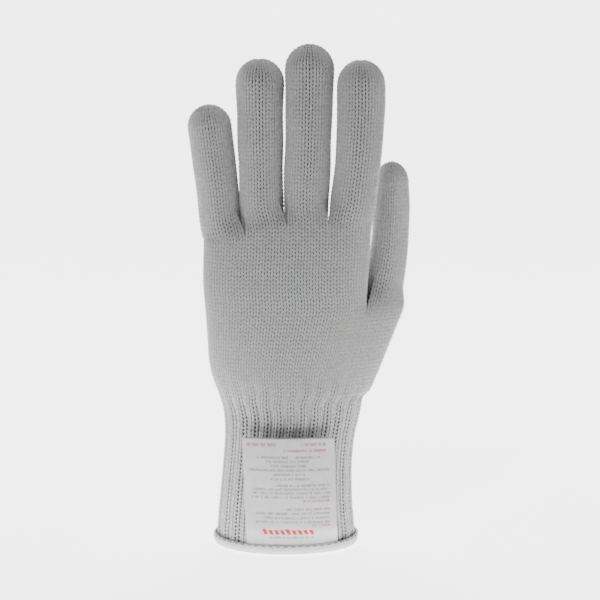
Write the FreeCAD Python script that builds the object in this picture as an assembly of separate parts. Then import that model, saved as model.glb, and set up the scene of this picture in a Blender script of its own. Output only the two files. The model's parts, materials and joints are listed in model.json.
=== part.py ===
"""Knitted cut resistant glove, left hand, standing on its cuff with the fingers up.

Frame: origin at the centre of the wrist opening, +Z towards the fingertips, +X towards the
thumb, -Y is the back of the hand and +Y is the palm. Millimetres.

The knit is one hollow shell, divided where it flexes: at the wrist, and three times along each
finger stall. Each divided end is a hollow ball that turns inside the end of the stall before it,
and the ends are mitred on the side that they bend towards, so that they meet at full bend.
"""

import FreeCAD, Part
import math
import os

V = FreeCAD.Vector
OUT = "parts"

# ---- driving dimensions --------------------------------------------------------------------
WALL = 2.2            # thickness of the knit
GAP = 0.45            # clearance left at each flex line, to each side
BALL_CLEAR = 0.5      # between a hollow ball and the stall it turns in
BALL_WALL = 1.5
BALL_ZONE = 0.5       # the ball's kept height each side of its centre, as a share of its radius
COLLAR = 5.0          # length of the ring that joins a ball to its stall
SEAM_ANGLE = -70.0    # where a turned face begins, away from the mitres' corners
REACH = 60.0          # larger than any stall's section, for cutting tools

WRIST = (3.0, 0.4, 76.0)          # the middle of the wrist's flex line
WRIST_FLEX, WRIST_BACK = 55.0, 45.0
WRIST_COLLAR = (80.0, 86.0)       # the ring that joins the hand to its wrist sleeve
WRIST_BAND = 9.0                  # the sleeve's height each side of the flex line

RIBS = 32
RIB_DEPTH = 1.1
RIB_START, RIB_FULL = 6.4, 12.0   # heights where the ribs rise out of the hem
CUFF_WALL = 2.9                   # the rib knit is thicker than the plain knit
CUFF_HEIGHTS = (1.1, 6.4, 12.0, 22.0, 33.0, 45.0, 56.0, 66.0, 84.0)

HEM_TAPE = 0.9                    # thickness of the binding tape
HEM_HEIGHT = 6.0
HEM_SLACK = 0.08                  # between the tape and the knit that it wraps
HEM_STITCHES = 52
HEM_STITCH_Z = 5.0
STITCH_LENGTH, STITCH_RADIUS = 2.6, 0.3

ELASTIC_RINGS = 9
ELASTIC_FIRST, ELASTIC_PITCH = 14.0, 5.5
ELASTIC_SIZE = 0.9

LABEL_WIDTH, LABEL_HEIGHT, LABEL_THICK = 49.0, 58.0, 0.5
LABEL_X = 3.5                     # the label's middle, a little towards the thumb
LABEL_LIFT = 1.4                  # the label's face stands this far off the ribs
LABEL_FOLD_Z = 6.8                # where the label folds, just above the binding
LABEL_TUCK = 3.6                  # the label's edge that the binding holds
TUCK_THICK, TUCK_CLEAR = 0.4, 0.06
LABEL_SAG = 3.4                   # how far the label's sides bow back round the cuff

# Sections of the shell: height, left edge, right edge, back, palm, squareness
CUFF = [
    (0.0, -38.4, 38.9, -25.6, 25.6, 2.1),
    (12.0, -38.0, 38.2, -25.2, 25.2, 2.1),
    (22.0, -35.4, 35.6, -23.4, 23.6, 2.1),
    (45.0, -32.6, 35.6, -22.0, 22.2, 2.1),
    (66.0, -31.2, 37.4, -21.4, 21.8, 2.1),
    (84.0, -32.4, 38.8, -20.8, 21.6, 2.1),
]
PALM = [
    (70.0, -31.2, 37.4, -21.2, 21.8, 2.1),
    (84.0, -33.6, 39.6, -20.2, 21.4, 2.2),
    (97.0, -39.0, 41.0, -18.4, 20.4, 2.4),
    (118.0, -40.6, 42.4, -16.6, 18.8, 2.6),
    (145.0, -43.0, 43.2, -15.4, 17.0, 2.6),
    (168.0, -43.4, 45.4, -14.0, 15.0, 2.7),
    (184.0, -44.6, 46.9, -12.4, 12.6, 2.8),
]
CAVITY_TOP = 166.0
PANEL_HEIGHTS = (92.0, 110.0, 125.0, 150.0, 165.0, 200.0)
SEAM = 0.1                        # between neighbouring panels of the hand
WRIST_SEAM_X = 10.0               # the seam plane across the wrist's ring, below the panels
PANEL_Y = 1.0                     # the seam plane between the back's panels and the palm's

# Fingers: flex point of the root, lean of each stall in degrees towards the thumb, lengths of the
# three stalls, outer radius at the root, the two joints and the tip, bend at each joint, and how
# far aside the finger curls for each unit that it curls forwards
FINGERS = {
    "little": ((-33.9, 0.6, 174.0), (-6.0, -6.6, -6.6), (23.0, 18.5, 22.4), (9.9, 10.0, 10.0, 10.2)),
    "ring": ((-12.2, 0.0, 180.0), (-1.2, -0.6, 0.0), (30.0, 25.0, 26.4), (10.6, 11.0, 11.2, 11.3)),
    "middle": ((11.3, -0.4, 182.0), (1.6, 1.4, 0.6), (32.0, 27.0, 28.0), (11.3, 11.4, 11.4, 11.5)),
    "index": ((35.4, 0.0, 180.0), (6.6, 3.0, -0.6), (30.0, 25.0, 26.2), (11.2, 11.3, 11.4, 11.4)),
}
FINGER_FLEX = {
    "little": (70.0, 75.0, 35.0),
    "ring": (75.0, 80.0, 40.0),
    "middle": (75.0, 80.0, 40.0),
    "index": (75.0, 80.0, 40.0),
}
FINGER_ASIDE = {"little": -0.10, "ring": -0.05, "middle": 0.02, "index": 0.10}
SOCKET_DEPTH = 22.0
STALLS = ("root", "middle", "tip")

# Thumb: its foot in the palm, then its flex points and its tip, with the outer radius at each
THUMB_FOOT, THUMB_FOOT_R = (28.5, 4.0, 86.0), 15.5
THUMB_CLEAR = 0.6                 # between the thumb's first stall and the palm's edge
THUMB = [
    ((51.2, 12.6, 131.0), 10.8),
    ((57.3, 15.6, 158.0), 9.5),
    ((59.3, 17.5, 181.0), 8.7),
    ((58.9, 19.5, 204.8), 8.0),
]
THUMB_FLEX = (45.0, 45.0, 60.0)
THUMB_FOOT_OVER = 10.0            # the foot's length past the flex line, before it is mitred
THUMB_TOWARDS = ((1.0, 0.0, 0.0), (-0.5, 0.866, 0.0), (-0.5, 0.866, 0.0))


# ---- geometry helpers ----------------------------------------------------------------------
def oval(section, inset, t):
    """The point at angle t on a rounded oval section, moved inwards by inset."""
    z, left, right, back, palm, power = section
    a, b = (right - left) / 2 - inset, (palm - back) / 2 - inset
    c, s = math.cos(t), math.sin(t)
    x = (left + right) / 2 + a * math.copysign(abs(c) ** (2 / power), c)
    y = (back + palm) / 2 + b * math.copysign(abs(s) ** (2 / power), s)
    return V(x, y, z)


def outline(section, inset, count, fine=1440):
    """Points at even steps round a section, from its thumb side."""
    dense = [oval(section, inset, 2 * math.pi * i / fine) for i in range(fine + 1)]
    run = [0.0]
    for p, q in zip(dense, dense[1:]):
        run.append(run[-1] + p.distanceToPoint(q))
    points, j = [], 0
    for i in range(count):
        while run[j + 1] <= run[-1] * i / count:
            j += 1
        share = (run[-1] * i / count - run[j]) / (run[j + 1] - run[j])
        points.append(dense[j] + (dense[j + 1] - dense[j]) * share)
    return points


def closed_curve(points):
    """A smooth closed wire through the points."""
    curve = Part.BSplineCurve()
    curve.interpolate(Points=points, PeriodicFlag=True)
    return Part.Wire(curve.toShape())


def oval_loft(sections, inset, count=28):
    """A solid through the sections."""
    return Part.makeLoft([closed_curve(outline(s, inset, count)) for s in sections], True, False)


def section_at(sections, z):
    """The section at height z, between the listed ones."""
    for low, high in zip(sections, sections[1:]):
        if z <= high[0]:
            break
    t = (z - low[0]) / (high[0] - low[0])
    return tuple(p + (q - p) * t for p, q in zip(low, high))


def local_frame(origin, along, towards):
    """The placement whose Z is along and whose Y is as near towards as it can be."""
    z = V(*along).normalize()
    t = V(*towards)
    y = (t - z * t.dot(z)).normalize()
    x = y.cross(z)
    o = V(*origin)
    return FreeCAD.Placement(
        FreeCAD.Matrix(x.x, y.x, z.x, o.x, x.y, y.y, z.y, o.y, x.z, y.z, z.z, o.z, 0, 0, 0, 1)
    )


def prism(profile, half_width):
    """A YZ outline extruded along X to both sides."""
    points = [V(-half_width, y, z) for y, z in profile]
    face = Part.Face(Part.makePolygon(points + points[:1]))
    return face.extrude(V(2 * half_width, 0, 0))


def mitre_below(flex, half_width=REACH, back_flex=0.0):
    """What a stall loses under its own start, so that it can turn by flex towards +Y."""
    rise = math.tan(math.radians(flex / 2)) * REACH
    back = math.tan(math.radians(back_flex / 2)) * REACH
    outline = [(-REACH, -REACH), (-REACH, GAP + back), (0, GAP), (REACH, GAP + rise), (REACH, -REACH)]
    return prism(outline, half_width)


def mitre_above(flex, half_width=REACH, back_flex=0.0):
    """What a stall loses past its end, so that the next one can turn by flex towards +Y."""
    drop = math.tan(math.radians(flex / 2)) * REACH
    back = math.tan(math.radians(back_flex / 2)) * REACH
    outline = [(-REACH, REACH), (-REACH, -GAP - back), (0, -GAP), (REACH, -GAP - drop), (REACH, REACH)]
    return prism(outline, half_width)


def tapered(r0, r1, length):
    """A cone along Z, or a cylinder where both ends are alike."""
    if abs(r0 - r1) < 1e-6:
        return Part.makeCylinder(r0, length)
    return Part.makeCone(r0, r1, length)


def hollow_ball(radius):
    """The part of a hollow ball between its two open ends, centred on the flex point."""
    shell = Part.makeSphere(radius).cut(Part.makeSphere(radius - BALL_WALL))
    half = radius * BALL_ZONE
    return shell.common(Part.makeCylinder(REACH, 2 * half, V(0, 0, -half)))


def ball_radius(r_joint):
    """The hollow ball that turns inside a stall of this outer radius."""
    return r_joint - WALL - BALL_CLEAR


# ---- stalls --------------------------------------------------------------------------------
def quarter(radius, middle):
    """The outline of a round tip, from its widest point to the axis."""
    lean = radius * math.sqrt(0.5)
    return Part.Arc(V(radius, 0, middle), V(lean, 0, middle + lean), V(0, 0, middle + radius)).toShape()


def stall_tube(length, r0, r1, closed):
    """A hollow cone with a thick collar at its foot, and a round tip if it is closed."""
    neck = ball_radius(r0) - BALL_WALL / 2
    slope = (r1 - r0) / length
    top = length - r1 if closed else length
    inner = [V(r1 - WALL, 0, top), V(r0 - WALL + slope * COLLAR, 0, COLLAR), V(neck, 0, COLLAR)]
    outer = [V(neck, 0, 0), V(r0, 0, 0), V(r1, 0, top)]
    edges = [Part.makeLine(p, q) for line in (inner, outer) for p, q in zip(line, line[1:])]
    edges.append(Part.makeLine(inner[-1], outer[0]))
    if closed:
        edges += [quarter(r1, top), quarter(r1 - WALL, top)]
        edges.append(Part.makeLine(V(0, 0, top + r1), V(0, 0, top + r1 - WALL)))
    else:
        edges.append(Part.makeLine(outer[-1], inner[0]))
    face = Part.Face(Part.Wire(Part.__sortEdges__(edges)))
    tube = face.revolve(V(0, 0, 0), V(0, 0, 1), 360)
    tube.rotate(V(0, 0, 0), V(0, 0, 1), SEAM_ANGLE)
    return tube


def stall(length, r0, r1, below, above):
    """One length of a finger: a ball in the piece before it, a tube, and a mitred end or a tip."""
    tube = stall_tube(length, r0, r1, above is None).cut(below)
    if above is not None:
        tube = tube.cut(above)
    return tube.fuse(hollow_ball(ball_radius(r0)))


def finger_points(name):
    """The three flex points and the tip of a finger."""
    root, leans, lengths, _ = FINGERS[name]
    points = [V(*root)]
    for lean, length in zip(leans, lengths):
        a = math.radians(lean)
        points.append(points[-1] + V(math.sin(a), 0, math.cos(a)) * length)
    return points


def joint_frames(points, towards):
    """The flex frame at the foot of each stall, half way between the stalls that it joins."""
    alongs = [(q - p).normalize() for p, q in zip(points, points[1:])]
    before = [alongs[0]] + alongs[:2]
    return [
        local_frame(point, back + ahead, side)
        for point, back, ahead, side in zip(points, before, alongs, towards)
    ]


def chain_stalls(points, radii, flexes, towards):
    """The three stalls that follow each other through the points."""
    frames = joint_frames(points, towards)
    made = []
    for i, frame in enumerate(frames):
        along = points[i + 1] - points[i]
        place = local_frame(points[i], along, towards[i])
        below = mitre_below(flexes[i])
        below.Placement = place.inverse().multiply(frame)
        above = None
        if i < 2:
            above = mitre_above(flexes[i + 1])
            above.Placement = place.inverse().multiply(frames[i + 1])
        shape = stall(along.Length, radii[i], radii[i + 1], below, above)
        shape.Placement = place
        made.append(shape)
    return made


def finger_towards(name):
    """The way that each joint of a finger bends."""
    return [(FINGER_ASIDE[name], 1.0, 0.0)] * 3


def finger_stalls(name):
    points, radii = finger_points(name), FINGERS[name][3]
    return chain_stalls(points, radii, FINGER_FLEX[name], finger_towards(name))


def thumb_points():
    return [V(*point) for point, _ in THUMB]


def thumb_stalls():
    return chain_stalls(thumb_points(), [r for _, r in THUMB], THUMB_FLEX, THUMB_TOWARDS)


# ---- hand ----------------------------------------------------------------------------------
def finger_limits():
    """For each finger, how far the hand's top edge is its own: half way to its neighbours."""
    roots = [FINGERS[name][0][0] for name in FINGERS]
    middles = [(p + q) / 2 for p, q in zip(roots, roots[1:])]
    return dict(zip(FINGERS, zip([roots[0] - REACH] + middles, middles + [roots[-1] + REACH])))


def finger_mitres():
    """What is cut from the hand's top edge, each finger in its own width."""
    tools = []
    for name, (left, right) in finger_limits().items():
        root = FINGERS[name][0]
        tool = mitre_above(FINGER_FLEX[name][0])
        tool.Placement = joint_frames(finger_points(name), finger_towards(name))[0]
        keep = Part.makeBox(right - left, 2 * REACH, 2 * REACH, V(left, -REACH, root[2] - REACH))
        tools.append(tool.common(keep))
    return tools


def finger_sockets():
    """Round passages from the hand's hollow into each finger."""
    tools = []
    for name in FINGERS:
        root, ahead = finger_points(name)[:2]
        along = (ahead - root).normalize()
        radius = FINGERS[name][3][0] - WALL
        tools.append(Part.makeCylinder(radius, SOCKET_DEPTH + 8, root - along * SOCKET_DEPTH, along))
    return tools


def wrist_ellipsoid(inset):
    """An ellipsoid round about the wrist's axis, so it is the same at every angle of the wrist."""
    _, left, right, back, palm, _ = section_at(CUFF, WRIST[2])
    a, b = (right - left) / 2 - inset, (palm - back) / 2 - inset
    arc = Part.ArcOfEllipse(Part.Ellipse(V(0, 0, 0), a, b), 0, math.pi).toShape()
    half = Part.Face(Part.Wire([arc, Part.makeLine(V(-a, 0, 0), V(a, 0, 0))]))
    ball = half.revolve(V(0, 0, 0), V(1, 0, 0), 360)
    ball.translate(V(*WRIST))
    return ball


def slab(low, high):
    """Everything between two heights."""
    return Part.makeBox(4 * REACH, 4 * REACH, high - low, V(-2 * REACH, -2 * REACH, low))


def thumb_foot():
    """The cone from the palm to the thumb's flex line, and the hollow inside it."""
    root, foot = thumb_points()[0], V(*THUMB_FOOT)
    along = root - foot
    length = along.Length + THUMB_FOOT_OVER
    over = THUMB[0][1] - (THUMB_FOOT_R - THUMB[0][1]) * THUMB_FOOT_OVER / along.Length
    cone, bore = tapered(THUMB_FOOT_R, over, length), tapered(THUMB_FOOT_R - WALL, over - WALL, length)
    cone.Placement = bore.Placement = local_frame(foot, along, THUMB_TOWARDS[0])
    end = mitre_above(THUMB_FLEX[0])
    end.Placement = joint_frames(thumb_points(), THUMB_TOWARDS)[0]
    return cone.cut(end), bore


def thumb_groove():
    """The shallow groove in the palm's edge that the thumb's first stall lies beside."""
    root, knuckle = thumb_points()[:2]
    (_, r_root), (_, r_knuckle) = THUMB[:2]
    groove = tapered(r_root + THUMB_CLEAR, r_knuckle + THUMB_CLEAR, (knuckle - root).Length)
    groove.Placement = local_frame(root, knuckle - root, THUMB_TOWARDS[0])
    return groove


def hand_shell():
    """Back and palm in one hollow shell, with the thumb's foot, finger sockets and wrist sleeve."""
    hollow = oval_loft(PALM, WALL).common(slab(0, CAVITY_TOP))
    cone, bore = thumb_foot()
    shell = oval_loft(PALM, 0).cut(thumb_groove()).fuse(cone).cut(hollow).cut(bore)
    for tool in finger_sockets() + finger_mitres():
        shell = shell.cut(tool)
    collar = oval_loft(PALM, WALL / 2).common(slab(*WRIST_COLLAR))
    neck = wrist_ellipsoid(CUFF_WALL + BALL_CLEAR + BALL_WALL / 2)
    inside = wrist_ellipsoid(CUFF_WALL + BALL_CLEAR + BALL_WALL)
    shell = shell.fuse(collar.cut(neck))
    below = mitre_below(WRIST_FLEX, 2 * REACH, WRIST_BACK)
    below.translate(V(*WRIST))
    sleeve = wrist_ellipsoid(CUFF_WALL + BALL_CLEAR).cut(inside)
    band = slab(WRIST[2] - WRIST_BAND, WRIST[2] + WRIST_BAND)
    return panels(shell.cut(below).fuse(sleeve.common(band)))


def panels(shell):
    """The hand's shell in panels a hair apart: the wrist's ring, then back and palm in tiers."""
    wrist = shell.common(slab(0, PANEL_HEIGHTS[0] - SEAM))
    solids = []
    for left in (-2 * REACH, WRIST_SEAM_X):
        width = WRIST_SEAM_X + 2 * REACH - SEAM if left < 0 else 2 * REACH
        solids += wrist.common(Part.makeBox(width, 4 * REACH, 2 * REACH, V(left, -2 * REACH, 0))).Solids
    for low, high in zip(PANEL_HEIGHTS, PANEL_HEIGHTS[1:]):
        tall = high - low - SEAM
        for near in (-2 * REACH, PANEL_Y):
            deep = PANEL_Y + 2 * REACH - SEAM if near < 0 else 2 * REACH
            solids += shell.common(Part.makeBox(4 * REACH, deep, tall, V(-2 * REACH, near, low))).Solids
    return Part.makeCompound(solids)


# ---- cuff ----------------------------------------------------------------------------------
def cuff_outline(z, inset, count, groove=0.0):
    """The cuff's outline at height z, with rib grooves of the given depth."""
    section = section_at(CUFF, z)
    plain = outline(section, inset, count)
    if not groove:
        return plain
    deep = outline(section, inset + groove, count)
    shares = [(1 - math.cos(2 * math.pi * RIBS * i / count)) / 2 for i in range(count)]
    return [p + (q - p) * share for p, q, share in zip(plain, deep, shares)]


def rib_depth(z):
    """The ribs are flat in the hem and rise to their full depth above it."""
    return RIB_DEPTH * min(1.0, max(0.0, (z - RIB_START) / (RIB_FULL - RIB_START)))


def cuff_loft(heights, inset):
    """A smooth solid in the cuff's own outline, moved inwards by inset."""
    wires = [closed_curve(cuff_outline(z, inset, 36)) for z in heights]
    return Part.makeLoft(wires, True, True)


def ribbed_loft(heights):
    """A solid in the cuff's outline with its ribs, in facets."""
    wires = []
    for z in heights:
        ring = cuff_outline(z, 0, RIBS * 6, rib_depth(z))
        wires.append(Part.makePolygon(ring + ring[:1]))
    return Part.makeLoft(wires, True, True)


def cuff_bore(inset):
    """The space inside the rib knit, from below the hem to above the wrist."""
    return cuff_loft((0.0,) + CUFF_HEIGHTS[1:-1] + (CUFF_HEIGHTS[-1] + 1,), inset)


def cuff_shell():
    """The rib knit tube from the hem to the wrist's flex line."""
    above = mitre_above(WRIST_FLEX, 2 * REACH, WRIST_BACK)
    above.translate(V(*WRIST))
    return ribbed_loft(CUFF_HEIGHTS).cut(cuff_bore(CUFF_WALL)).cut(above)


def hem_binding():
    """A tape folded round the cuff's raw edge: outside, under and inside."""
    heights = (0.0, 3.0, HEM_HEIGHT)
    outer = cuff_loft(heights, -HEM_SLACK - HEM_TAPE)
    through = cuff_loft((-1.0, 3.0, HEM_HEIGHT + 1), CUFF_WALL + HEM_SLACK + HEM_TAPE)
    channel = cuff_loft((CUFF_HEIGHTS[0] - HEM_SLACK,) + CUFF_HEIGHTS[1:], -HEM_SLACK)
    binding = outer.cut(through).cut(channel.cut(cuff_bore(CUFF_WALL + HEM_SLACK)))
    return binding.cut(label_pocket())


def thread_bar(middle, along, outwards):
    """One stitch: a round-ended bar of thread that lies on the cloth."""
    side = along.cross(outwards)
    place = local_frame(middle + outwards * STITCH_RADIUS, along, side)
    bar = Part.makeCylinder(STITCH_RADIUS, STITCH_LENGTH, V(0, 0, -STITCH_LENGTH / 2))
    for end in (-STITCH_LENGTH / 2, STITCH_LENGTH / 2):
        bar = bar.fuse(Part.makeSphere(STITCH_RADIUS, V(0, 0, end)))
    bar.Placement = place
    return bar


def stitch_row(over_label):
    """The stitches near the binding's top edge: those over the label, or all the others."""
    surface = -HEM_SLACK - HEM_TAPE - 0.04
    ring = cuff_outline(HEM_STITCH_Z, surface, 2 * HEM_STITCHES)
    bars = []
    for i in range(0, len(ring), 2):
        if over_label == (ring[i].y < 0 and abs(ring[i].x - LABEL_X) < LABEL_WIDTH / 2):
            along = (ring[(i + 1) % len(ring)] - ring[i - 1]).normalize()
            bars.append(thread_bar(ring[i], along, along.cross(V(0, 0, 1))))
    return Part.makeCompound(bars)


def cuff_elastic():
    """Elastic yarns laid round the inside of the rib knit."""
    inset = CUFF_WALL + HEM_SLACK
    layer = cuff_bore(inset).cut(cuff_bore(inset + ELASTIC_SIZE))
    lows = [ELASTIC_FIRST + i * ELASTIC_PITCH for i in range(ELASTIC_RINGS)]
    return Part.makeCompound([layer.common(slab(low, low + ELASTIC_SIZE)) for low in lows])


# ---- label ---------------------------------------------------------------------------------
def label_arc():
    """The label's radius in plan and the middle of its arc, with its front on the fold line."""
    radius = (LABEL_WIDTH / 2) ** 2 / (2 * LABEL_SAG) + LABEL_SAG / 2
    return radius, V(LABEL_X, label_front() + radius, 0)


def label_front():
    """How far back the label's outer face stands at its middle."""
    front = min(point.y for point in cuff_outline(LABEL_FOLD_Z, 0, 720))
    return front - LABEL_LIFT - LABEL_THICK


def label_plate(low, high):
    """A bowed sheet between two heights."""
    radius, middle = label_arc()
    ring = Part.makeCylinder(radius, high - low, V(middle.x, middle.y, low))
    ring = ring.cut(Part.makeCylinder(radius - LABEL_THICK, high - low, V(middle.x, middle.y, low)))
    front = label_front()
    keep = Part.makeBox(LABEL_WIDTH, radius, high - low, V(LABEL_X - LABEL_WIDTH / 2, front - 1, low))
    return ring.common(keep)


def label_flap():
    """The printed label above its fold."""
    return label_plate(LABEL_FOLD_Z, LABEL_FOLD_Z + LABEL_HEIGHT)


def label_strip(near, far, low, margin):
    """A strip of the label's width between two distances off the rib knit, up to the hem's top."""
    band = cuff_loft((low, LABEL_FOLD_Z - GAP), -far).cut(cuff_loft((low - 1, LABEL_FOLD_Z), -near))
    width = LABEL_WIDTH + 2 * margin
    return band.common(Part.makeBox(width, REACH, REACH, V(LABEL_X - width / 2, -REACH, low)))


def label_tuck():
    """The label's lower edge, held between the rib knit and the binding."""
    near = HEM_SLACK + TUCK_CLEAR
    return label_strip(near, near + TUCK_THICK, HEM_HEIGHT - LABEL_TUCK, 0)


def label_pocket():
    """The room that the label's lower edge takes out of the binding."""
    far = HEM_SLACK + 2 * TUCK_CLEAR + TUCK_THICK
    return label_strip(0, far, HEM_HEIGHT - LABEL_TUCK - TUCK_CLEAR, TUCK_CLEAR)


# ---- the glove -----------------------------------------------------------------------------
def build():
    """Every node by name."""
    nodes = {
        "cuff_shell": cuff_shell(),
        "cuff_elastic": cuff_elastic(),
        "hem_binding": hem_binding(),
        "hem_thread": stitch_row(over_label=False),
        "label_flap": label_flap(),
        "label_tuck": label_tuck(),
        "label_thread": stitch_row(over_label=True),
        "hand_shell": hand_shell(),
    }
    for name in FINGERS:
        for part, shape in zip(STALLS, finger_stalls(name)):
            nodes[f"{name}_{part}"] = shape
    for part, shape in zip(STALLS, thumb_stalls()):
        nodes[f"thumb_{part}"] = shape
    return nodes


def main():
    os.makedirs(OUT, exist_ok=True)
    for name, shape in build().items():
        shape.exportStep(f"{OUT}/{name}.step")
        print(f"{name}: {len(shape.Solids)} solids, {shape.Volume:.0f} mm3, valid {shape.isValid()}")


if __name__ == "__main__":
    main()
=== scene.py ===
"""A heavy knitted cut resistant glove standing on its bound cuff: real yarn loops over a lining
whose dark colour is painted shade between the loops.

The knit starts as tubes of loops: one for the cuff and hand, one for each finger and the thumb. A
tube is a grid of surface points, in wales round it and courses along it, and a yarn runs round it
once for each course. Lengths are in millimetres until a mesh is made.
"""
import json
import math

import bpy
import numpy as np
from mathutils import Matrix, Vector


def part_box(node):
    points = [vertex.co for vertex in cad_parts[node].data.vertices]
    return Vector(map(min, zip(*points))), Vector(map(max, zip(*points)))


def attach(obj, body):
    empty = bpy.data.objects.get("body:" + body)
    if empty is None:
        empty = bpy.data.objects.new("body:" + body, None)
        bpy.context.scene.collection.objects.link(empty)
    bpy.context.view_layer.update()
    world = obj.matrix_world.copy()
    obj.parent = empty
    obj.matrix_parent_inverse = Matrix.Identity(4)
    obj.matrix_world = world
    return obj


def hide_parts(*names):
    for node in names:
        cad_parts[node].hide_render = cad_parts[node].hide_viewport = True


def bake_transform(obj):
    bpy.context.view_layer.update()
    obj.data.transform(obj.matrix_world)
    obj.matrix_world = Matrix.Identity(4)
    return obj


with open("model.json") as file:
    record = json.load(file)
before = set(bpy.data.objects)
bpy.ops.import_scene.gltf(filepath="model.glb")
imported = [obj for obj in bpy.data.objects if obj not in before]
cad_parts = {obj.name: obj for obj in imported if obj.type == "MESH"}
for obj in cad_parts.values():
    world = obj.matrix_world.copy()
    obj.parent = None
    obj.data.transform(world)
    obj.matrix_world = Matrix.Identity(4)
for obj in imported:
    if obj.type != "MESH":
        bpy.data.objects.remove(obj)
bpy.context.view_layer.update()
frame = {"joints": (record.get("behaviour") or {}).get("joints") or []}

MM = 0.001
RNG = np.random.default_rng(11)
JOINTS = {j["name"]: np.array(j["pos_m"]) / MM for j in frame["joints"]}

# ---- the knit's own measures, in mm --------------------------------------------------------
COURSE = 2.12         # height of one course
YARN = 0.57           # yarn radius
LOOP_SWING = 0.06     # how far a loop's legs lean, in wales
LOOP_RISE = 0.74      # how far a loop reaches up and down, in courses
LOOP_DEPTH = 0.45     # how far legs stand out and heads lie back
SKIN = LOOP_DEPTH + YARN
LOOP_LENGTH = 7.0     # yarn in a loop below which the yarn is drawn thinner
YARN_THINNEST = 0.62  # the thinnest it gets, as a share
LEAN_SPREAD, RISE_SPREAD = 0.06, 0.035   # how uneven the loops are
THICK_WAVE, THICK_SPREAD = 0.05, 0.02    # how uneven the yarn is
LEAST_WALE = 1.75     # a tip's courses drop loops below this width
SHADE_LINING_DEPTHS = (0.62, 1.3)
LOOP_POINTS, YARN_SIDES = 14, 6
PER_WALE, PER_COURSE = 4, 2              # grid points to a wale and to a course

STRIP_WALES = 7       # wales in a finger's back that go on into the hand
WALL_WALES = 4        # wales in the side of a finger or of the palm
EDGE_WALES = WALL_WALES // 2             # wales from the palm's edge to its first strip
THUMB_OUTER = 18      # wales of the thumb that go on into the hand
GUSSET = EDGE_WALES + 4 * STRIP_WALES    # the wale where the thumb's share of the hand begins
PALM_WALES = 8 * STRIP_WALES + 2 * WALL_WALES
HAND_WALES = PALM_WALES - WALL_WALES + THUMB_OUTER
FINGER_WALES = 2 * (STRIP_WALES + WALL_WALES)
THUMB_WALES = THUMB_OUTER + WALL_WALES

RIB_WALES = 3
RIB_NARROW, RIB_SINK = 0.36, 0.95        # how far the wale between ribs is drawn in and back
RIB_TOP, RIB_END = 66.0, 98.0            # the ribs fade out between these heights

# Sections of the knit: height, left edge, right edge, back, palm, squareness
SECTIONS = [
    (0.0, -38.0, 38.6, -25.2, 25.2, 2.1),
    (6.0, -38.0, 38.6, -25.2, 25.2, 2.1),
    (12.0, -37.6, 38.2, -24.8, 24.9, 2.1),
    (22.0, -36.7, 37.0, -23.6, 23.8, 2.1),
    (45.0, -34.4, 36.6, -22.3, 22.4, 2.1),
    (62.0, -33.0, 38.2, -21.6, 21.9, 2.1),
    (74.0, -33.6, 41.6, -21.2, 21.8, 2.1),
    (84.0, -36.4, 43.0, -20.6, 21.4, 2.2),
    (92.0, -39.8, 43.0, -19.6, 20.9, 2.3),
    (99.0, -41.6, 43.2, -18.6, 20.2, 2.4),
    (118.0, -42.6, 43.4, -17.2, 18.9, 2.6),
    (145.0, -44.4, 44.6, -15.9, 17.2, 2.7),
    (168.0, -43.6, 46.0, -14.4, 15.2, 2.8),
    (184.0, -44.6, 46.9, -12.8, 12.8, 2.8),
    (200.0, -44.6, 46.9, -11.6, 11.8, 2.8),
]
HAND_START = 5.0
HAND_TOP = HAND_START + 57 * COURSE      # above this the palm and the thumb are two tubes
PALM_TOP = HAND_TOP + 20 * COURSE        # above this there is a tube for each finger

# Digits: outer radius at the root joint, the two other joints and the tip's dome, dome height as a
# share of its radius, how far the knit stands off the joints towards the palm, and the heights
# where the stall leaves the hand at its little-finger side and its thumb side
DIGITS = {
    "little": ((11.3, 11.6, 11.8, 11.7), 1.0, 1.2, (166.0, 178.0)),
    "ring": ((12.0, 11.9, 12.6, 13.0), 1.0, 0.0, (179.0, 183.0)),
    "middle": ((12.2, 12.4, 12.7, 13.1), 1.0, 0.0, (183.0, 184.0)),
    "index": ((12.1, 12.4, 12.9, 12.8), 1.0, 0.0, (184.0, 176.0)),
}
THUMB_RADII = (11.9, 10.6, 10.1, 9.6)
THUMB_FOOT, THUMB_FOOT_R = np.array((28.5, 4.0, 86.0)), 15.5
THUMB_RISE = 70.0                     # below this the thumb doesn't swell the hand
THUMB_WIDE = 1.1                      # the thumb's width inside the hand over its depth
THUMB_SHRINK = 26                     # how fast it dwindles below its foot
THUMB_ASIDE = np.array((-1.5, -0.5, 0.0))    # the knit hangs a little inside the joints
THUMB_DOME = 1.25
THUMB_SPLIT = (HAND_TOP, 143.0)
THUMB_INWARD = math.radians(200)      # the way from the thumb to the palm
SECTION_TOP = SECTIONS[-1][0] - 1.0
FINGER_JOIN = 40.0                    # how far above the palm's top a finger may still be joined
LEAVE_BELOW, LEAVE_ABOVE = 8, 6       # a finger leaves the hand over this much height
CROTCH_SQUEEZE, CROTCH_REACH = 0.06, 20
RIPPLE, RIPPLE_PACE = 0.012, 0.13     # slight unevenness round a stall and along it
SWELL, SWELL_PACE = 0.010, 0.21
DOME_END = 0.07                       # the tip's hole, as an angle from the dome's top

# ---- hem and elastic -----------------------------------------------------------------------
HEM_STITCHES = 52
STITCH_LENGTH, THREAD_RADIUS, STITCH_OUT = 2.7, 0.26, 1.18
STITCH_RINGS, THREAD_SIDES = 9, 6
HEM_EDGE = 0.4                        # from the tape's edges up to the binding's top
HEM_ROLL = 1.6                        # height where the tape turns under
TAPE_HALF, TAPE_EDGE_HALF = 0.42, 0.24       # half the tape's thickness, and at its edges
STITCH_DROP = 1.0                     # from the stitches up to the binding's top
ELASTIC_RINGS, ELASTIC_RADIUS, ELASTIC_POINTS = 9, 0.42, 336

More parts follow.
